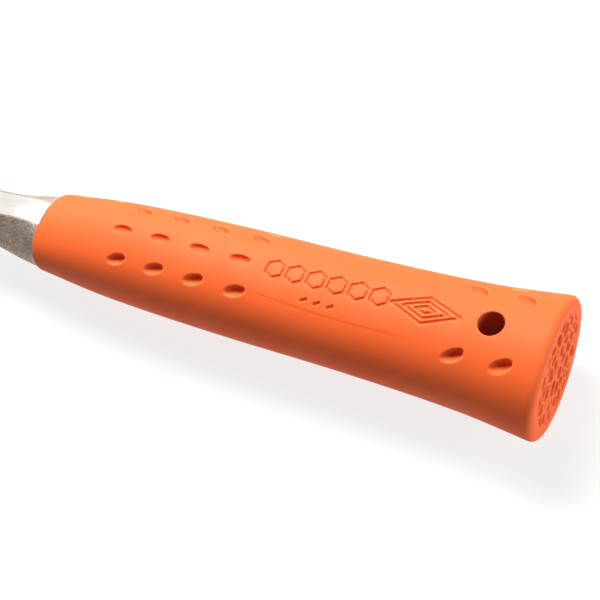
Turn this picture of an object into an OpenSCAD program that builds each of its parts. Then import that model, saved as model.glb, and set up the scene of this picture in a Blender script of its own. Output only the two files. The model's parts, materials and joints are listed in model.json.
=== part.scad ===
// Rock hammer: a square-faced head with a pick, neck and tang in one steel forging,
// and a dimpled grip moulded over the tang.
// X runs down the handle from the head to the butt, Y runs along the head from the
// striking face to the pick, and Z is the thickness. The origin is the centre of the hang hole.

/* [Overall] */
// Length from the top of the head to the butt of the grip
overall_length = 330; // [300:1:360]
// Distance from the hang hole's centre to the butt
hole_to_butt = 15; // [13:0.5:20]
// Diameter of the hang hole
hang_hole_d = 6.35; // [5:0.05:8]

/* [Head] */
// Distance from the handle's centreline to the striking face
face_reach = 63; // [56:1:75]
// Distance from the handle's centreline to the point of the pick
pick_reach = 118; // [100:1:130]
// Depth of the head's cheeks along the handle
head_height = 24; // [22:0.5:26]
// Thickness of the head's cheeks
head_thickness = 22; // [21:0.5:24]
// Side of the square poll just behind its striking face
poll_size = 21.5; // [20:0.5:22]
// Width of the bevel round the striking face
face_bevel = 1.7; // [1:0.1:2.5]
// How far the pick droops towards the handle at its point
pick_droop = 11; // [6:0.5:14]

/* [Neck] */
// Narrowest width of the neck
neck_width = 18.2; // [17.4:0.2:19]
// Smallest thickness of the neck
neck_thickness = 12.4; // [11:0.2:13]

/* [Tang] */
// Width of the tang inside the grip
tang_width = 15; // [12:0.5:17]
// Thickness of the tang
tang_thickness = 7; // [5:0.5:8]
// Vinyl left between the end of the tang and the hang hole
tang_to_hole = 8; // [6:0.5:14]

/* [Grip] */
// Length of the moulded grip
grip_length = 152; // [145:1:160]
// Width of the grip at the bolster
bolster_width = 24.8; // [24:0.2:26]
// Thickness of the grip at the bolster
bolster_thickness = 19.6; // [18:0.2:21]
// Width of the grip at the butt
butt_width = 37.2; // [34:0.2:40]
// Thickness of the grip at the butt
butt_thickness = 32; // [28:0.2:34]
// Depth of a dimple
dimple_depth = 1.4; // [0.8:0.1:1.6]

/* [Hidden] */

grip_start = hole_to_butt - grip_length;
head_top = hole_to_butt - overall_length;
head_axis = head_top + head_height / 2;
head_underside = head_top + head_height;
head_half = head_height / 2;
cheek_half = head_thickness / 2;
overlap = 0.01;

// Hang hole, and the dimples round it and up the grip
dimple_length = 6.4;
dimple_width = 2.8;
dimple_pitch = 12.8;
dimple_count = 4;
side_row_y = 8.4;
side_row_turn = 18;
side_row_start = 31.6;
middle_row_start = 30.1;
butt_dimples_x = [-6.8, 5];
butt_dimple_y = 9.5;
butt_dimple_turn = 30;

// Tang, with holes that key the moulding to it
tang_tip = -hang_hole_d / 2 - tang_to_hole;
key_hole_r = 3.5;
key_hole_count = 3;
key_hole_pitch = 40;

ring_points = 40;
neck_flat_share = 0.9;
butt_round = 1.6;
butt_round_steps = 4;

// Stations along the grip: distance from the bolster, half width, half thickness
grip_stations = [
    [0, bolster_width / 2, bolster_thickness / 2],
    [25, 14.5, 12.4],
    [61, 15.5, 13.3],
    [101, 15.7, 12.9],
    [132, 16.6, 14],
    [grip_length, butt_width / 2, butt_thickness / 2],
];

// Stations down the neck: x, half width, half thickness
neck_stations = [
    [head_underside - 6, 24, cheek_half],
    [head_underside, 18, cheek_half - 0.3],
    [head_underside + 7, 13.6, cheek_half - 1.2],
    [head_underside + 17, 11, 8.5],
    [head_underside + 34, 9.6, 6.9],
    [head_underside + 60, neck_width / 2, neck_thickness / 2],
    [grip_start - 40, neck_width / 2, neck_thickness / 2 + 0.1],
    [grip_start - 22, neck_width / 2 + 0.1, 7.2],
    [grip_start - 15, 10.1, 7.8],
    [grip_start - 7, 11.6, 8.9],
    [grip_start, bolster_width / 2, bolster_thickness / 2],
];

// Stations along the head: y, x of the middle, half height, half thickness, corner chamfer
poll_half = poll_size / 2;
face_half = poll_half - face_bevel;
waist_half = poll_half - 0.9;
head_stations = [
    [-face_reach, head_axis, face_half, face_half, 2],
    [-face_reach + face_bevel, head_axis, poll_half, poll_half, 2.6],
    [-face_reach + 15, head_axis, poll_half, poll_half, 2.6],
    [-face_reach + 19, head_axis, waist_half, waist_half, 3.4],
    [-26, head_axis, waist_half, waist_half, 3.4],
    [-14, head_axis, head_half, cheek_half, 3],
    [14, head_axis, head_half, cheek_half, 3],
    for (share = [0.2, 0.4, 0.6, 0.8, 0.92, 1]) pick_station(share),
];

// A station of the pick, where share runs from 0 at the cheek to 1 at the point
function pick_station(share) =
    let (
        left = 1 - 0.42 * share - 0.52 * share ^ 3,
        y = 14 + (pick_reach - 14) * share,
        middle = head_axis + pick_droop * share ^ 2.2
    )
    [y, middle, head_half * left, cheek_half * left, 0.26 * cheek_half * left];

// Slope of a column of a table at row i, from its neighbours
function slope(table, i, column) =
    let (before = table[max(i - 1, 0)], after = table[min(i + 1, len(table) - 1)])
    (after[column] - before[column]) / (after[0] - before[0]);

// A column of a table at x, on a smooth curve through its rows
function smooth_at(table, x, column) =
    let (
        i = max([for (k = [0 : len(table) - 2]) if (table[k][0] <= x + overlap) k]),
        width = table[i + 1][0] - table[i][0],
        t = (x - table[i][0]) / width,
        from = table[i][column],
        to = table[i + 1][column]
    )
    from + (to - from) * t ^ 2 * (3 - 2 * t)
    + width * (slope(table, i, column) * t * (1 - t) ^ 2 - slope(table, i + 1, column) * t ^ 2 * (1 - t));

// Ellipse across the handle at x, cut flat on both sides at a share of its half thickness
function handle_ring(x, half_width, half_thickness, flat_share = 1) = [
    for (k = [0 : ring_points - 1])
        let (angle = 360 * k / ring_points, z = half_thickness * sin(angle) / flat_share)
        [x, half_width * cos(angle), max(-half_thickness, min(half_thickness, z))]
];

// Rectangle with chamfered corners across the head at y
function head_ring(station) =
    let (
        y = station[0],
        middle = station[1],
        h = station[2],
        t = station[3],
        c = station[4],
        upper = [[h, t - c], [h - c, t], [c - h, t], [-h, t - c]]
    )
    [for (p = upper) [middle + p[0], y, p[1]], for (p = upper) [middle - p[0], y, -p[1]]];

// Closed solid through rings of equally many points
module loft(rings) {
    n = len(rings[0]);
    last = (len(rings) - 1) * n;
    polyhedron(
        points = [for (ring = rings) each ring],
        faces = [
            [for (k = [n - 1 : -1 : 0]) k],
            [for (k = [0 : n - 1]) last + k],
            for (start = [0 : n : last - n], k = [0 : n - 1])
                let (next = (k + 1) % n)
                each [
                    [start + k, start + next, start + n + next],
                    [start + k, start + n + next, start + n + k],
                ],
        ]
    );
}

module head() {
    loft([for (station = head_stations) head_ring(station)]);
}

module neck() {
    from = neck_stations[0][0];
    steps = 36;
    loft([
        for (i = [steps : -1 : 0])
            let (x = from + (grip_start - from) * i / steps)
            handle_ring(
                x, smooth_at(neck_stations, x, 1), smooth_at(neck_stations, x, 2), neck_flat_share
            )
    ]);
}

// Flat bar with a round tip, drilled so that the vinyl keys through it
module tang() {
    half_width = tang_width / 2;
    from = grip_start - overlap;
    tip_centre = tang_tip - half_width;
    linear_extrude(tang_thickness, center = true)
        difference() {
            union() {
                translate([from, -half_width]) square([tip_centre - from, tang_width]);
                translate([tip_centre, 0]) circle(half_width, $fn = 64);
            }
            for (i = [0 : key_hole_count - 1]) {
                translate([tip_centre - i * key_hole_pitch, 0]) circle(key_hole_r, $fn = 32);
            }
        }
}

module steel_forging() {
    color([0.72, 0.70, 0.68])
        union() {
            head();
            neck();
            tang();
        }
}

// Outside of the grip, with its butt edge rounded
module grip_body() {
    steps = 30;
    straight = grip_length - butt_round;
    loft(reversed([
        for (i = [0 : steps])
            let (s = straight * i / steps)
            handle_ring(grip_start + s, smooth_at(grip_stations, s, 1), smooth_at(grip_stations, s, 2)),
        for (i = [1 : butt_round_steps])
            let (
                angle = 90 * i / butt_round_steps,
                s = straight + butt_round * sin(angle),
                inset = butt_round * (1 - cos(angle))
            )
            handle_ring(
                grip_start + s, smooth_at(grip_stations, s, 1) - inset, smooth_at(grip_stations, s, 2) - inset
            ),
    ]));
}

function reversed(list) = [for (i = [len(list) - 1 : -1 : 0]) list[i]];

// Spindle that scoops one dimple, lying along X
module dimple() {
    steps = 6;
    rotate([0, 90, 0])
        rotate_extrude($fn = 32)
            polygon([
                for (i = [0 : steps])
                    let (angle = -90 + 180 * i / steps)
                    [dimple_width / 2 * cos(angle), dimple_length / 2 * sin(angle)]
            ]);
}

// Height of the grip's surface above the centreline at x, y
function grip_height(x, y) =
    let (s = x - grip_start, half_width = smooth_at(grip_stations, s, 1))
    smooth_at(grip_stations, s, 2) * sqrt(1 - (y / half_width) ^ 2);

// Dimple at x, y, turned so that its end towards the butt is nearer the middle
module dimple_at(x, y, turn = 0) {
    sunk = dimple_width / 2 - dimple_depth;
    translate([x, y, grip_height(x, y) + sunk]) rotate(-sign(y) * turn) dimple();
}

// Dimples of one side of the grip
module side_dimples() {
    for (i = [0 : dimple_count - 1]) {
        for (y = [-side_row_y, side_row_y]) {
            dimple_at(grip_start + side_row_start + i * dimple_pitch, y, side_row_turn);
        }
        dimple_at(grip_start + middle_row_start + i * dimple_pitch, 0);
    }
    for (x = butt_dimples_x, y = [-butt_dimple_y, butt_dimple_y]) {
        dimple_at(x, y, butt_dimple_turn);
    }
}

module moulded_grip() {
    color([0.98, 0.42, 0.12])
        difference() {
            grip_body();
            tang();
            cylinder(h = 60, d = hang_hole_d, center = true, $fn = 64);
            side_dimples();
            mirror([0, 0, 1]) side_dimples();
        }
}

steel_forging();
moulded_grip();
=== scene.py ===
"""Looks of the rock hammer: a forged steel head, neck and tang, and an orange vinyl grip.

Shapes are worked out in millimetres in the part's own frame: X runs down the handle from the
head to the butt, Y along the head from the striking face to the pick, Z out of the flat side,
and the origin is the centre of the hang hole.
"""
import json
import math

import bmesh
import bpy
import numpy as np
from mathutils import Matrix, Vector, noise


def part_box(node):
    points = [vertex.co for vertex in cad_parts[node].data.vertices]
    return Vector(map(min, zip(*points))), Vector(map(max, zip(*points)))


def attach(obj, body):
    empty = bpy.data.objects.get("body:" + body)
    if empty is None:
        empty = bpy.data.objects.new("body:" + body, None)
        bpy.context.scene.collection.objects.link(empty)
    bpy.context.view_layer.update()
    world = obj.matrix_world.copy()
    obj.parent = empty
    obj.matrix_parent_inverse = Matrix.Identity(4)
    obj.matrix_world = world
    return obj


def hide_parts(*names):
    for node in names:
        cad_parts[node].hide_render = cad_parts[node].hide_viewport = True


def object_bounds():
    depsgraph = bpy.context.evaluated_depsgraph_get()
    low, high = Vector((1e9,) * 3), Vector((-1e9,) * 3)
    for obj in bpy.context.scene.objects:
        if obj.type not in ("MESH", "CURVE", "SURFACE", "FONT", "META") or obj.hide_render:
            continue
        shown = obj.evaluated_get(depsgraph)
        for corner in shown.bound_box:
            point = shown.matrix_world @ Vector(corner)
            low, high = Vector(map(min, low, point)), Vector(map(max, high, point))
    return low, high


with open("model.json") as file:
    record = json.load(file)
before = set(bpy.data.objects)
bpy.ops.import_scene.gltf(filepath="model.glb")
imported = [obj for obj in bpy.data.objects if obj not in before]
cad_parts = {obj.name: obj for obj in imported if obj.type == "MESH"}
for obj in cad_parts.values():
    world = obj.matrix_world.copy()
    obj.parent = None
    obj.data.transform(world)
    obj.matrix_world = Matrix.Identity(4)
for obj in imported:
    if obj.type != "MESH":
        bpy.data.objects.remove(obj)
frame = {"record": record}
cad_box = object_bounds()

MM = 0.001
ROOT = "root"

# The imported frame's sizes, in millimetres
grip_low, grip_high = (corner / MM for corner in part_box("moulded_grip"))
steel_low, steel_high = (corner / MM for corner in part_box("steel_forging"))
mounts = {mount["name"]: mount for mount in frame["record"]["mounts"]}
GRIP_START = grip_low.x
GRIP_END = grip_high.x
GRIP_LENGTH = GRIP_END - GRIP_START
HOLE_R = mounts["hang_hole"]["dims"]["r_mm"]
HEAD_AXIS = mounts["striking_face"]["pos_m"][0] / MM
HEAD_HALF = HEAD_AXIS - steel_low.x
CHEEK_HALF = -mounts["cheek_side"]["pos_m"][2] / MM
UNDERSIDE = HEAD_AXIS + HEAD_HALF
FACE_Y = steel_low.y
PICK_Y = steel_high.y

# Grip: distance from its front end, half width, half thickness
GRIP_STATIONS = np.array([
    [0, 12.4, 9.8],
    [25, 14.5, 12.4],
    [61, 15.5, 13.3],
    [101, 15.7, 12.9],
    [132, 16.6, 14.0],
    [152, 18.6, 16.0],
])
# Points round the grip, gathered towards its flat sides, which start at a share of its
# thickness, and the lengths of its cells along X
AROUND = 384
GATHER = 0.22
SIDES_FROM = 0.25
FINE_FROM, FINE_TO = -63.0, -7.0
FINE_CELL = 0.16
COARSE_CELL = 0.34
LIP_ROUND = 0.45
BUTT_ROUND = 1.9
ROUND_STEPS = 8
FRONT_SUNK = 0.1
FRONT_SHARE = 0.8

# Hang hole: the cells that its patch takes up along and across the grip, its rounded edge, and
# the rings down its bore
HOLE_CELLS = (32, 76)
HOLE_EDGE_ROUND = 0.5
BORE_RINGS = 10

# Dimples: half length and half width, how boxy their bowls are, how far their rims are rounded,
# and the start of each row with its distance off the middle
DIMPLE_HALF = (3.2, 1.4)
DIMPLE_DEPTH = 1.25
DIMPLE_BOXY = 1.3
DIMPLE_RIM = 0.35
NO_BOWL = 1e3
DIMPLE_PITCH = 12.8
DIMPLES_IN_ROW = 4
DIMPLE_ROWS = ((31.6, 8.4), (30.1, 0.0), (31.6, -8.4))
BUTT_DIMPLES_X = (-6.8, 5.0)
BUTT_DIMPLE_Y = 9.5
ROW_TURN = 18
BUTT_TURN = 30

# Raised panel on each side: it narrows away from its middle, and fades out at both ends
PANEL_HALF_WIDTH = 8.4
PANEL_MIDDLE = -33.0
PANEL_CURVE = 0.0013
PANEL_STEP = 0.1
PANEL_EDGE = 0.35
PANEL_FADES_IN = (-72, -58)
PANEL_FADES_OUT = (-26, -12)

# Engraved lines: depth, width, and how far they soften at their edges
ENGRAVED = 0.55
STROKE = 0.75
STROKE_EDGE = 0.14

# Ornament: hexagons in a row, lozenges under them, and diamonds inside each other
HEXAGONS_X = [-58.0 + 5.9 * i for i in range(6)]
HEXAGONS_Y = -0.1
HEXAGON_R = 2.6
LOZENGES_X = (-47.3, -43.6, -39.9)
LOZENGES_Y = -5.9
LOZENGE_HALF = (0.6, 0.3)
DIAMOND_MIDDLE = (-16.4, -0.6)
DIAMOND_HALF = (9.0, 3.6)
DIAMOND_SIZES = (1.0, 0.64, 0.28)

# Butt face: plain rim with an uneven edge, then pits with walls between them on a sunk floor
RIM_SHARE = 0.87
RIM_SOFTNESS = 0.05
RIM_WOBBLE = 0.035
FLOOR_SUNK = 0.12
PIT_DEPTH = 1.2
PIT_SIZE = 3.3
PIT_STRETCH = 1.15
WALL_SHARE, WALL_SLOPE = 0.12, 0.14
BUTT_RINGS = 90
BUTT_CENTRE = 0.03


# ---------------------------------------------------------------- shape helpers

def through(knots, values, x):
    """A smooth curve through the values at the knots, read at x."""
    low = np.maximum(np.arange(len(knots)) - 1, 0)
    high = np.minimum(np.arange(len(knots)) + 1, len(knots) - 1)
    slopes = (values[high] - values[low]) / (knots[high] - knots[low])
    i = np.clip(np.searchsorted(knots, x, side="right") - 1, 0, len(knots) - 2)
    width = knots[i + 1] - knots[i]
    t = (x - knots[i]) / width
    ease = t * t * (3 - 2 * t)
    lean = slopes[i] * t * (1 - t) ** 2 - slopes[i + 1] * t * t * (1 - t)
    return values[i] + (values[i + 1] - values[i]) * ease + width * lean


def step(low, high, x):
    """0 below low, 1 above high, smooth between."""
    t = np.clip((x - low) / (high - low), 0, 1)
    return t * t * (3 - 2 * t)


def lower_of(a, b, blend):
    """The smaller of a and b, rounded where they cross."""
    near = np.maximum(blend - np.abs(a - b), 0) / blend
    return np.minimum(a, b) - near * near * blend / 4


def make_object(name, points, faces):
    """A smoothly shaded object from points in millimetres, all of which are on a face."""
    mesh = bpy.data.meshes.new(name)
    mesh.from_pydata([tuple(p * MM) for p in np.asarray(points, float)], [], faces)
    work = bmesh.new()
    work.from_mesh(mesh)
    bmesh.ops.recalc_face_normals(work, faces=work.faces)
    work.to_mesh(mesh)
    work.free()
    mesh.polygons.foreach_set("use_smooth", [True] * len(mesh.polygons))
    obj = bpy.data.objects.new(name, mesh)
    bpy.context.scene.collection.objects.link(obj)
    return obj


class Skin:
    """A mesh that grows ring by ring."""

    def __init__(self, points=()):
        self.points = list(points)
        self.faces = []

    def add(self, ring):
        """Adds a ring of points, and gives their places."""
        self.points.extend(ring)
        return list(range(len(self.points) - len(ring), len(self.points)))

    def bridge(self, a, b):
        """Joins two closed rings with as many points each."""
        for k in range(len(a)):
            m = (k + 1) % len(a)
            self.faces.append((a[k], a[m], b[m], b[k]))


# ---------------------------------------------------------------- grip

def half_width(s):
    return through(GRIP_STATIONS[:, 0], GRIP_STATIONS[:, 1], s)


def half_thickness(s):
    return through(GRIP_STATIONS[:, 0], GRIP_STATIONS[:, 2], s)


def side_height(x, y):
    """Height of the plain grip over its middle plane."""
    s = x - GRIP_START
    return half_thickness(s) * np.sqrt(np.maximum(1 - (y / half_width(s)) ** 2, 0))


def dimple_places():
    """Where each dimple is, and how many degrees its butt end is turned towards the middle."""
    rows = [
        (GRIP_START + start + i * DIMPLE_PITCH, y, ROW_TURN)
        for start, y in DIMPLE_ROWS
        for i in range(DIMPLES_IN_ROW)
    ]
    butt = [(x, y, BUTT_TURN) for x in BUTT_DIMPLES_X for y in (-BUTT_DIMPLE_Y, BUTT_DIMPLE_Y)]
    return rows + butt


def with_dimples(x, y, z):
    """Scoops every dimple straight down out of a height field."""
    half_x, half_y = DIMPLE_HALF
    for cx, cy, turn in dimple_places():
        angle = math.radians(-np.sign(cy) * turn)
        along = (x - cx) * math.cos(angle) + (y - cy) * math.sin(angle)
        across = (y - cy) * math.cos(angle) - (x - cx) * math.sin(angle)
        inside = 1 - ((along / half_x) ** 2 + (across / half_y) ** 2) ** DIMPLE_BOXY
        level = side_height(np.float64(cx), np.float64(cy))
        bowl = level - DIMPLE_DEPTH * np.sqrt(np.maximum(inside, 0))
        z = lower_of(z, np.where(inside > 0, bowl, NO_BOWL), DIMPLE_RIM)
    return z


def stroke(x, y, a, b):
    """1 on the engraved line from a to b, 0 away from it."""
    ax, ay = a
    dx, dy = b[0] - ax, b[1] - ay
    t = np.clip(((x - ax) * dx + (y - ay) * dy) / (dx * dx + dy * dy), 0, 1)
    distance = np.hypot(x - ax - t * dx, y - ay - t * dy)
    return 1 - step(STROKE / 2 - STROKE_EDGE, STROKE / 2 + STROKE_EDGE, distance)


def outline(x, y, corners):
    """1 on the engraved lines that join the corners, 0 away from them."""
    found = np.zeros_like(x)
    for a, b in zip(corners, corners[1:] + corners[:1]):
        found = np.maximum(found, stroke(x, y, a, b))
    return found


def ornament(x, y):
    """Generic engraved marks: a row of hexagons, three lozenges and nested diamonds."""
    found = np.zeros_like(x)
    for cx in HEXAGONS_X:
        turns = [math.radians(a) for a in range(30, 390, 60)]
        corners = [
            (cx + HEXAGON_R * math.cos(a), HEXAGONS_Y + HEXAGON_R * math.sin(a)) for a in turns
        ]
        found = np.maximum(found, outline(x, y, corners))
    w, h = LOZENGE_HALF
    for cx in LOZENGES_X:
        ends = (cx - w, LOZENGES_Y - h), (cx + w, LOZENGES_Y + h)
        found = np.maximum(found, stroke(x, y, *ends))
    cx, cy = DIAMOND_MIDDLE
    for size in DIAMOND_SIZES:
        w, h = (size * half for half in DIAMOND_HALF)
        corners = [(cx - w, cy), (cx, cy + h), (cx + w, cy), (cx, cy - h)]
        found = np.maximum(found, outline(x, y, corners))
    return found


def side_surface(x, y):
    """Height of a flat side of the grip with everything moulded into it, but the hole."""
    z = with_dimples(x, y, side_height(x, y))
    edge = PANEL_HALF_WIDTH - PANEL_CURVE * (x - PANEL_MIDDLE) ** 2
    fade = step(*PANEL_FADES_IN, x) * (1 - step(*PANEL_FADES_OUT, x))
    z = z + PANEL_STEP * fade * (1 - step(edge - PANEL_EDGE, edge, np.abs(y)))
    return z - ENGRAVED * ornament(x, y)


def grip_grid():
    """The long skin of the grip as rows of points, from the front lip to the edge of the butt."""
    turn = np.linspace(0, math.pi / 2, ROUND_STEPS + 1)
    lip_s = LIP_ROUND * (1 - np.cos(turn))
    lip_in = LIP_ROUND * (1 - np.sin(turn))
    butt_s = GRIP_LENGTH - BUTT_ROUND * (1 - np.sin(turn))
    butt_in = BUTT_ROUND * (1 - np.cos(turn))
    stops = (LIP_ROUND, FINE_FROM - GRIP_START, FINE_TO - GRIP_START, GRIP_LENGTH - BUTT_ROUND)
    main_s = np.concatenate([
        np.linspace(a, b, round((b - a) / cell), endpoint=False)
        for a, b, cell in zip(stops, stops[1:], (COARSE_CELL, FINE_CELL, COARSE_CELL))
    ])[1:]
    s = np.concatenate([lip_s, main_s, butt_s])
    inset = np.concatenate([lip_in, 0 * main_s, butt_in])
    angle = np.linspace(0, 2 * math.pi, AROUND, endpoint=False)
    angle = angle + GATHER * np.sin(2 * angle)
    x = np.repeat((GRIP_START + s)[:, None], AROUND, 1)
    y = (half_width(s) - inset)[:, None] * np.cos(angle)
    z = (half_thickness(s) - inset)[:, None] * np.sin(angle)
    plain = side_height(x, y)
    sunk = plain - side_surface(x, y)
    flat_side = (np.abs(np.sin(angle)) > SIDES_FROM) & (inset[:, None] == 0)
    z = z - np.sign(z) * np.where(flat_side, sunk, 0)
    return np.stack([x, y, z], 2)


def window(rows):
    """The block of cells round the hole, and its border in order."""
    middle = int(np.argmin(np.abs(rows[:, 0, 0])))
    half_i, half_j = (cells // 2 for cells in HOLE_CELLS)
    i0, i1 = middle - half_i, middle + half_i
    j0, j1 = AROUND // 4 - half_j, AROUND // 4 + half_j
    border = [(i, j0) for i in range(i0, i1)] + [(i1, j) for j in range(j0, j1)]
    border += [(i, j1) for i in range(i1, i0, -1)] + [(i0, j) for j in range(j1, j0, -1)]
    return (i0, i1, j0, j1), border


def hole_rings(border_xy):
    """Rings from the block's border to the hole's wall: x, y and how far each is sunk."""
    direction = border_xy / np.linalg.norm(border_xy, axis=1)[:, None]
    rim = HOLE_R + HOLE_EDGE_ROUND
    rings = []
    for share in (0.3, 0.55, 0.75, 0.9, 1.0):
        rings.append(((1 - share) * border_xy + share * rim * direction, 0.0))
    for turn in np.linspace(0, math.pi / 2, 7)[1:]:
        radius = rim - HOLE_EDGE_ROUND * math.sin(turn)
        rings.append((radius * direction, HOLE_EDGE_ROUND * (1 - math.cos(turn))))
    return rings


def pits(y, z):
    """Depth of the irregular pits in the butt's face, 0 to 1."""
    found = np.zeros(len(y))
    for i, (py, pz) in enumerate(zip(y, z)):
        at = Vector((py / PIT_SIZE, pz / (PIT_STRETCH * PIT_SIZE), 3.7))
        distances, places = noise.voronoi(at)
        wall = distances[1] - distances[0]
        cell = noise.cell(places[0] * 5.0)
        found[i] = min(max((wall - WALL_SHARE) / WALL_SLOPE, 0.0), 1.0) * (0.6 + 0.4 * abs(cell))
    return found * found * (3 - 2 * found)


def vertex(i, j):
    """Place of a grid point of the grip, from its row and its step round it."""
    return i * AROUND + j % AROUND


def long_skin(skin, count, block):
    """The grip's grid, without the blocks of cells round the hang hole."""
    i0, i1, j0, j1 = block
    for i in range(count - 1):
        for j in range(AROUND):
            top = j0 <= j < j1
            under = j0 <= AROUND - j - 1 < j1
            if not (i0 <= i < i1 and (top or under)):
                corners = (vertex(i, j), vertex(i, j + 1), vertex(i + 1, j + 1), vertex(i + 1, j))
                skin.faces.append(corners)


def hang_hole(skin, rows, border):
    """Both patches round the hole, then the bore between them."""
    border_xy = np.array([rows[i, j, :2] for i, j in border])
    ends = []
    for side in (1, -1):
        last = [vertex(i, side * j) for i, j in border]
        for xy, sunk in hole_rings(border_xy):
            z = side * (side_surface(xy[:, 0], xy[:, 1]) - sunk)
            ring = skin.add(np.column_stack([xy, z]))
            skin.bridge(last, ring)
            last = ring
        ends.append(last)
    top, under = (np.array([skin.points[k] for k in end]) for end in ends)
    last = ends[0]
    for share in np.linspace(0, 1, BORE_RINGS + 2)[1:-1]:
        ring = skin.add(top + share * (under - top))
        skin.bridge(last, ring)
        last = ring
    skin.bridge(last, ends[1])


def butt_face(skin, edge, last):
    """Rings towards the centre of the butt, with pits inside a plain rim."""
    for share in np.linspace(1, BUTT_CENTRE, BUTT_RINGS)[1:]:
        y, z = share * edge[:, 1], share * edge[:, 2]
        uneven = np.array([noise.noise(Vector((a / 2, b / 2, 9.1))) for a, b in zip(y, z)])
        field = 1 - step(RIM_SHARE - RIM_SOFTNESS, RIM_SHARE, share + RIM_WOBBLE * uneven)
        x = edge[:, 0] - field * (FLOOR_SUNK + PIT_DEPTH * pits(y, z))
        ring = skin.add(np.column_stack([x, y, z]))
        skin.bridge(last, ring)
        last = ring
    skin.faces.append(tuple(last))


def front_end(skin, front, first):
    """Closes the grip's front, out of sight inside the bolster."""
    x, y, z = front.T
    ring = skin.add(np.column_stack([x + FRONT_SUNK, FRONT_SHARE * y, FRONT_SHARE * z]))
    skin.bridge(first, ring)
    skin.faces.append(tuple(ring))


def build_grip():
    """The whole grip in one mesh, with the bore of the hang hole."""
    rows = grip_grid()
    count = len(rows)
    skin = Skin(rows.reshape(-1, 3))
    block, border = window(rows)
    long_skin(skin, count, block)
    hang_hole(skin, rows, border)
    butt_face(skin, rows[-1], [vertex(count - 1, j) for j in range(AROUND)])
    front_end(skin, rows[0], [vertex(0, j) for j in range(AROUND)])
    return make_object("orange_vinyl_grip", skin.points, skin.faces)


# ---------------------------------------------------------------- forging

# Steps round a ring of the head and of the neck whose faces are polished flats, and the steps
# whose corners run on as sharp edges
HEAD_FLATS = (2, 3, 8, 9)
HEAD_ARRISES = (1, 2, 4, 5, 7, 8, 10, 11)
HEAD_SHARPNESS = 0.8
NECK_FLATS = (0, 1, 2, 3, 8, 9, 10, 11)
NECK_ARRISES = (0, 4, 8, 12)
# Faces and arrises of the head that give way to the neck, and how far it reaches along the head
OPEN_FACES = (10, 11, 0, 1)
OPEN_ARRISES = (1, 2, 10, 11)
NECK_FROM = 18.0
SUBDIVISIONS = 3

# Head: half side of the poll, how much its waist draws in, the bevel round its face, where the
# pick starts to taper, and how far it droops
POLL_HALF = 10.75
WAIST = 0.9
BEVEL = 1.7
PICK_FROM = 14
PICK_DROOP = 11


def pick_stations():
    """Rings of the pick from the cheek to the point, as head_stations gives them."""
    found = []
    for share in (0.2, 0.4, 0.6, 0.8, 0.93, 1.0):
        left = 1 - 0.42 * share - 0.52 * share ** 3
        y = PICK_FROM + (PICK_Y - PICK_FROM) * share
        middle = HEAD_AXIS + PICK_DROOP * share ** 2.2
        found.append((y, middle, HEAD_HALF * left, CHEEK_HALF * left, 0.26 * CHEEK_HALF * left, 0.0))
    found[-1] = found[-1][:5] + (1.0,)
    return found


def head_stations():
    """Rings along the head: y, middle, half height, half thickness, chamfer and crease."""
    waist = POLL_HALF - WAIST
    face = POLL_HALF - BEVEL
    poll = [
        (FACE_Y, HEAD_AXIS, face, face, 2.0, 0.9),
        (FACE_Y + BEVEL, HEAD_AXIS, POLL_HALF, POLL_HALF, 2.6, 0.8),
        (FACE_Y + 8, HEAD_AXIS, POLL_HALF, POLL_HALF, 2.6, 0.0),
        (FACE_Y + 15, HEAD_AXIS, POLL_HALF, POLL_HALF, 2.6, 0.5),
        (FACE_Y + 19, HEAD_AXIS, waist, waist, 3.2, 0.4),
        (-30, HEAD_AXIS, waist + 0.2, waist + 0.2, 3.3, 0.0),
    ]
    cheeks = [
        (y, HEAD_AXIS, HEAD_HALF, CHEEK_HALF, 3.0, 0.0)
        for y in (-NECK_FROM, -NECK_FROM / 2, 0, NECK_FROM / 2, NECK_FROM)
    ]
    return poll + cheeks + pick_stations()


def head_ring(y, middle, h, t, c):
    """Twelve points round the head, from the middle of the side that faces the handle."""
    around = (
        (h, 0), (h, t - c), (h - c, t), (0, t), (c - h, t), (-h, t - c),
        (-h, 0), (-h, c - t), (c - h, -t), (0, -t), (h - c, -t), (h, c - t),
    )
    return [(middle + px, y, pz) for px, pz in around]


# Neck: distance from the head's underside, half width, half thickness, half width of its flat,
# how round its sides are (0 flat, 1 an ellipse), and how many degrees it leans over towards +Y
NECK_STATIONS = (
    (5, 14.4, 9.9, 11.0, 0.8, 0),
    (11, 12.0, 9.0, 8.6, 0.6, 0),
    (20, 10.5, 7.9, 7.0, 0.5, 0),
    (34, 9.6, 6.8, 6.0, 0.4, 1),
    (56, 9.1, 6.3, 5.4, 0.3, 3),
    (90, 9.0, 6.3, 4.9, 0.2, 5),
    (116, 9.0, 6.5, 4.6, 0.2, 6),
)
# Bolster: distance from the grip's front end, and the same
BOLSTER_STATIONS = (
    (-27, 9.05, 6.8, 4.5, 0.1, 6),
    (-20, 9.3, 7.3, 4.3, 0.1, 6),
    (-15, 10.1, 7.9, 4.1, 0.2, 6),
    (-9, 11.3, 8.5, 3.9, 0.4, 6),
    (-4, 11.9, 8.75, 3.7, 0.75, 4),
    (0.4, 12.1, 8.7, 3.3, 1.0, 0),
)
TANG_HALF = (7.5, 3.5)


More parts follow.
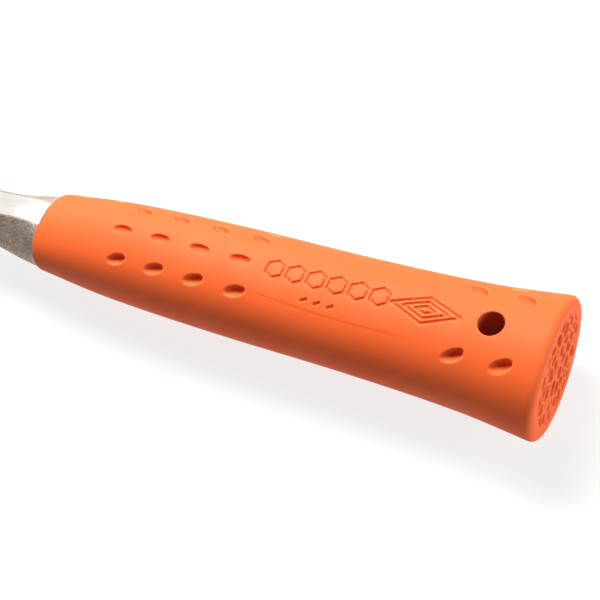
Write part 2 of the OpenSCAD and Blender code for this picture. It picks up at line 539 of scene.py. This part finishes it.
def neck_ring(x, w, t, f, roundness, lean):
    """Sixteen cage points whose smoothed surface has a flat at z = t and its edge at y = w."""
    round_y, round_z = 0.83 * w, 0.6 * t
    plain_y, plain_z = (f + w) / 2, 0.5 * t
    by = plain_y + (round_y - plain_y) * roundness
    bz = plain_z + (round_z - plain_z) * roundness
    cy = 1.5 * w - 0.5 * by
    flat = [(f * k / 2, t) for k in (-2, -1, 0, 1, 2)]
    half = flat + [(by, bz), (cy, 0), (by, -bz)]
    c, s = math.cos(math.radians(lean)), math.sin(math.radians(lean))
    leaning = [(y * c + z * s, z * c - y * s) for y, z in half]
    return [(x, y, z) for y, z in leaning] + [(x, -y, -z) for y, z in leaning]


def tang_ring(x, w, t):
    """Sixteen points of the tang's rectangle, in the order of the neck's rings."""
    flat = [(w * k / 2, t) for k in (-2, -1, 0, 1, 2)]
    half = flat + [(w, t / 2), (w, 0), (w, -t / 2)]
    return [(x, y, z) for y, z in half] + [(x, -y, -z) for y, z in half]


def neck_rings():
    rings = [neck_ring(UNDERSIDE + x, *section) for x, *section in NECK_STATIONS]
    return rings + [neck_ring(GRIP_START + x, *section) for x, *section in BOLSTER_STATIONS]


def tang_rings():
    w, t = TANG_HALF
    tip = steel_high.x
    rings = [tang_ring(GRIP_START + x, w, t) for x in (1.2, 2.4, 30)]
    for share in (0.0, 0.5, 0.8, 0.95):
        rings.append(tang_ring(tip - w + w * share, w * math.sqrt(1 - share ** 2), t))
    return rings


class Cage(Skin):
    """The forging's coarse faces, which of them are polished, and how sharp its edges are."""

    def __init__(self):
        super().__init__()
        self.polished = []
        self.creases = {}

    def join(self, a, b, flats, without=()):
        """Joins two rings by their steps, polishing the flats and leaving some steps open."""
        for k in range(len(a)):
            m = (k + 1) % len(a)
            if k not in without:
                self.face((a[k], a[m], b[m], b[k]), k in flats)

    def face(self, corners, polished):
        self.faces.append(tuple(corners))
        self.polished.append(polished)

    def crease(self, a, b, sharpness):
        self.creases[tuple(sorted((a, b)))] = sharpness

    def crease_round(self, ring, sharpness):
        for a, b in zip(ring, ring[1:] + ring[:1]):
            self.crease(a, b, sharpness)


def head_cage(cage):
    """Adds the head, and gives the border of its opening in the order of the neck's rings."""
    stations = head_stations()
    rings = [cage.add(head_ring(*station[:5])) for station in stations]
    joined = [i for i, station in enumerate(stations) if abs(station[0]) <= NECK_FROM]
    for i, (a, b) in enumerate(zip(rings, rings[1:])):
        at_neck = i in joined and i + 1 in joined
        cage.join(a, b, HEAD_FLATS, OPEN_FACES if at_neck else ())
        for k in HEAD_ARRISES:
            if not (at_neck and k in OPEN_ARRISES):
                cage.crease(a[k], b[k], HEAD_SHARPNESS)
    for ring, station in zip(rings, stations):
        cage.crease_round(ring, station[5])
    cage.face(rings[0], True)
    cage.face(rings[-1], True)
    first, last = rings[joined[0]], rings[joined[-1]]
    top = [rings[i][2] for i in joined]
    under = [rings[i][10] for i in reversed(joined)]
    return top + [last[1], last[0], last[11]] + under + [first[11], first[0], first[1]]


def handle_cage(cage, opening):
    """Adds the neck, which grows out of the opening, and the tang."""
    neck = [cage.add(ring) for ring in neck_rings()]
    tang = [cage.add(ring) for ring in tang_rings()]
    for a, b in zip([opening] + neck, neck + tang[:1]):
        cage.join(a, b, NECK_FLATS)
    for a, b in zip(tang, tang[1:]):
        cage.join(a, b, ())
    cage.face(tang[-1], False)
    rings = [opening] + neck + tang
    for a, b in zip(rings, rings[1:]):
        for k in NECK_ARRISES:
            cage.crease(a[k], b[k], 1.0)
    for ring in (neck[-1], tang[0], tang[-1]):
        cage.crease_round(ring, 1.0)


def build_forging():
    """Head, neck and tang in one mesh, smoothed by subdivision with creased arrises."""
    cage = Cage()
    handle_cage(cage, head_cage(cage))

    # The middles of the rings inside the neck are on no face
    kept = sorted({corner for corners in cage.faces for corner in corners})
    place = {old: new for new, old in enumerate(kept)}
    obj = make_object(
        "forged_steel_hammer",
        [cage.points[old] for old in kept],
        [tuple(place[corner] for corner in corners) for corners in cage.faces],
    )
    mesh = obj.data
    attribute = mesh.attributes.new("crease_edge", "FLOAT", "EDGE")
    for edge in mesh.edges:
        pair = tuple(sorted(kept[v] for v in edge.vertices))
        attribute.data[edge.index].value = cage.creases.get(pair, 0.0)
    mesh.polygons.foreach_set("material_index", [int(polished) for polished in cage.polished])
    smoother = obj.modifiers.new("smooth", "SUBSURF")
    smoother.levels = smoother.render_levels = SUBDIVISIONS
    return obj


# ---------------------------------------------------------------- materials

def shader(name):
    material = bpy.data.materials.new(name)
    material.use_nodes = True
    tree = material.node_tree
    return material, tree, tree.nodes["Principled BSDF"]


def add_noise(tree, scale, detail=2.0, stretch=(1, 1, 1)):
    """Noise on the object's own coordinates, stretched along its axes."""
    place = tree.nodes.new("ShaderNodeTexCoord")
    mapping = tree.nodes.new("ShaderNodeMapping")
    mapping.inputs["Scale"].default_value = stretch
    texture = tree.nodes.new("ShaderNodeTexNoise")
    texture.inputs["Scale"].default_value = scale
    texture.inputs["Detail"].default_value = detail
    tree.links.new(place.outputs["Object"], mapping.inputs["Vector"])
    tree.links.new(mapping.outputs["Vector"], texture.inputs["Vector"])
    return texture.outputs["Fac"]


def spread(tree, value, low, high, start=0.3, end=0.7):
    """Maps a value's range from start to end onto low to high, and holds it there outside."""
    node = tree.nodes.new("ShaderNodeMapRange")
    tree.links.new(value, node.inputs["Value"])
    for name, number in (("From Min", start), ("From Max", end), ("To Min", low), ("To Max", high)):
        node.inputs[name].default_value = number
    return node.outputs["Result"]


def colours(tree, value, stops):
    """A colour ramp over a value."""
    ramp = tree.nodes.new("ShaderNodeValToRGB")
    tree.links.new(value, ramp.inputs["Fac"])
    elements = ramp.color_ramp.elements
    while len(elements) < len(stops):
        elements.new(0.5)
    for element, (place, colour) in zip(elements, stops):
        element.position = place
        element.color = (*colour, 1)
    return ramp.outputs["Color"]


def add_bump(tree, height, depth, below=None):
    node = tree.nodes.new("ShaderNodeBump")
    node.inputs["Distance"].default_value = depth
    tree.links.new(height, node.inputs["Height"])
    if below:
        tree.links.new(below, node.inputs["Normal"])
    return node.outputs["Normal"]


def mix(tree, amount, below, above):
    """A colour that goes from below to above as the amount goes from 0 to 1."""
    node = tree.nodes.new("ShaderNodeMix")
    node.data_type = "RGBA"
    tree.links.new(amount, node.inputs["Factor"])
    tree.links.new(below, node.inputs[6])
    node.inputs[7].default_value = (*above, 1)
    return node.outputs[2]


def off_the_bore(tree):
    """Distance from the hang hole's axis, in metres."""
    place = tree.nodes.new("ShaderNodeTexCoord")
    flat = tree.nodes.new("ShaderNodeMapping")
    flat.inputs["Scale"].default_value = (1, 1, 0)
    length = tree.nodes.new("ShaderNodeVectorMath")
    length.operation = "LENGTH"
    tree.links.new(place.outputs["Object"], flat.inputs["Vector"])
    tree.links.new(flat.outputs["Vector"], length.inputs[0])
    return length.outputs["Value"]


def vinyl():
    """Satin orange vinyl: fine moulded grain, faint blotches, a painted highlight that makes ridges
    and edges paler, and painted shade in the bore.
    """
    material, tree, surface = shader("orange_vinyl")
    blotches = add_noise(tree, 45, 4)
    base = colours(tree, blotches, ((0.3, (0.70, 0.100, 0.020)), (0.7, (0.74, 0.110, 0.023))))
    # Painted highlight: where the surface is convex (ridges, rims, edges of engraved lines and butt
    # pits), the colour is made paler
    ridges = tree.nodes.new("ShaderNodeNewGeometry").outputs["Pointiness"]
    ridge_highlight = mix(tree, spread(tree, ridges, 0.0, 0.8, 0.51, 0.58), base, (0.9, 0.23, 0.065))
    # Painted shade: inside the hang hole's bore the colour is darkened towards a dark brown
    bore = spread(tree, off_the_bore(tree), 1.0, 0.0, HOLE_R * MM, 1.06 * HOLE_R * MM)
    tree.links.new(mix(tree, bore, ridge_highlight, (0.46, 0.09, 0.032)), surface.inputs["Base Color"])
    tree.links.new(spread(tree, add_noise(tree, 140, 3), 0.55, 0.66), surface.inputs["Roughness"])
    grain = add_bump(tree, add_noise(tree, 1800, 2), 0.00002)
    tree.links.new(add_bump(tree, add_noise(tree, 160, 3), 0.00004, grain), surface.inputs["Normal"])
    surface.inputs["Specular IOR Level"].default_value = 0.14
    return material


def polished_steel():
    """Ground and polished flats, with fine scratches along the handle and light smudges."""
    material, tree, surface = shader("polished_steel")
    tone = add_noise(tree, 30, 4)
    base = colours(tree, tone, ((0.3, (0.80, 0.75, 0.70)), (0.7, (0.87, 0.83, 0.79))))
    tree.links.new(base, surface.inputs["Base Color"])
    surface.inputs["Metallic"].default_value = 1.0
    scratches = add_noise(tree, 900, 3, (0.05, 1, 1))
    tree.links.new(spread(tree, scratches, 0.16, 0.22), surface.inputs["Roughness"])
    tree.links.new(add_bump(tree, scratches, 0.000002), surface.inputs["Normal"])
    return material


def forged_steel():
    """Grainy brown-grey forged edges."""
    material, tree, surface = shader("forged_steel")
    grain = add_noise(tree, 1500, 3)
    base = colours(tree, grain, ((0.35, (0.40, 0.30, 0.245)), (0.65, (0.70, 0.58, 0.50))))
    tree.links.new(base, surface.inputs["Base Color"])
    surface.inputs["Metallic"].default_value = 1.0
    surface.inputs["Specular Tint"].default_value = (0.3, 0.22, 0.18, 1)
    tree.links.new(spread(tree, add_noise(tree, 220, 3), 0.5, 0.66), surface.inputs["Roughness"])
    tree.links.new(add_bump(tree, grain, 0.00006), surface.inputs["Normal"])
    return material


# ---------------------------------------------------------------- stage

def pale_floor(height):
    """A wide pale floor, lit from within so that shadows on it stay faint."""
    bpy.ops.mesh.primitive_plane_add(size=6, location=(0, 0, height))
    floor = bpy.context.object
    floor.name = "floor"
    material, tree, surface = shader("pale_floor")
    surface.inputs["Base Color"].default_value = (0.16, 0.16, 0.16, 1)
    surface.inputs["Roughness"].default_value = 0.9
    surface.inputs["Emission Color"].default_value = (1, 1, 1, 1)
    surface.inputs["Emission Strength"].default_value = 0.8
    floor.data.materials.append(material)


def softbox(name, direction, distance, size, power, target):
    """A rectangular area light that faces the target, with its first side level."""
    light = bpy.data.lights.new(name, "AREA")
    light.shape = "RECTANGLE"
    light.size, light.size_y = size
    light.energy = power
    lamp = bpy.data.objects.new(name, light)
    bpy.context.scene.collection.objects.link(lamp)
    away = Vector(direction).normalized()
    lamp.location = target + away * distance
    lamp.rotation_mode = "QUATERNION"
    lamp.rotation_quaternion = away.to_track_quat("Z", "Y")


def studio():
    world = bpy.data.worlds.new("studio")
    bpy.context.scene.world = world
    world.use_nodes = True
    world.node_tree.nodes["Background"].inputs["Color"].default_value = (1, 1, 1, 1)
    world.node_tree.nodes["Background"].inputs["Strength"].default_value = 0.04
    middle = Vector((GRIP_START + GRIP_LENGTH / 2, 0, 0)) * MM
    softbox("key", (-0.38, 0.47, 0.8), 1.0, (0.55, 0.5), 26, middle)
    softbox("card", (-0.7, 0.45, 0.55), 1.2, (0.7, 0.9), 1.6, middle)
    softbox("fill", (0.95, 0.12, 0.3), 0.7, (0.5, 0.3), 3.4, middle)
    bpy.context.scene.view_settings.view_transform = "Standard"


# Camera: azimuth, elevation and roll in degrees, place in millimetres, and focal length
CAMERA_TURN = (47.49, 54.25, 26.14)
CAMERA_PLACE = (64.58, -109.45, 224.33)
CAMERA_LENS = 63.15


def photo_camera():
    """The camera at the photograph's viewing angle."""
    data = bpy.data.cameras.new("camera")
    data.sensor_width = 36
    data.lens = CAMERA_LENS
    camera = bpy.data.objects.new("camera", data)
    bpy.context.scene.collection.objects.link(camera)
    azimuth, elevation, roll = (math.radians(a) for a in CAMERA_TURN)
    back = Vector((
        math.sin(azimuth) * math.cos(elevation),
        -math.cos(azimuth) * math.cos(elevation),
        math.sin(elevation),
    ))
    side = Vector((math.cos(azimuth), math.sin(azimuth), 0))
    up = back.cross(side)
    right = math.cos(roll) * side - math.sin(roll) * up
    turned_up = math.sin(roll) * side + math.cos(roll) * up
    camera.matrix_world = Matrix.Translation(Vector(CAMERA_PLACE) * MM) @ Matrix(
        (right, turned_up, back)
    ).transposed().to_4x4()
    bpy.context.scene.camera = camera


# ---------------------------------------------------------------- the object

photo_camera()
studio()
pale_floor(cad_box[0].z)

grip = build_grip()
grip.data.materials.append(vinyl())
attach(grip, ROOT)
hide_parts("moulded_grip")

forging = build_forging()
forging.data.materials.append(forged_steel())
forging.data.materials.append(polished_steel())
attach(forging, ROOT)
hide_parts("steel_forging")
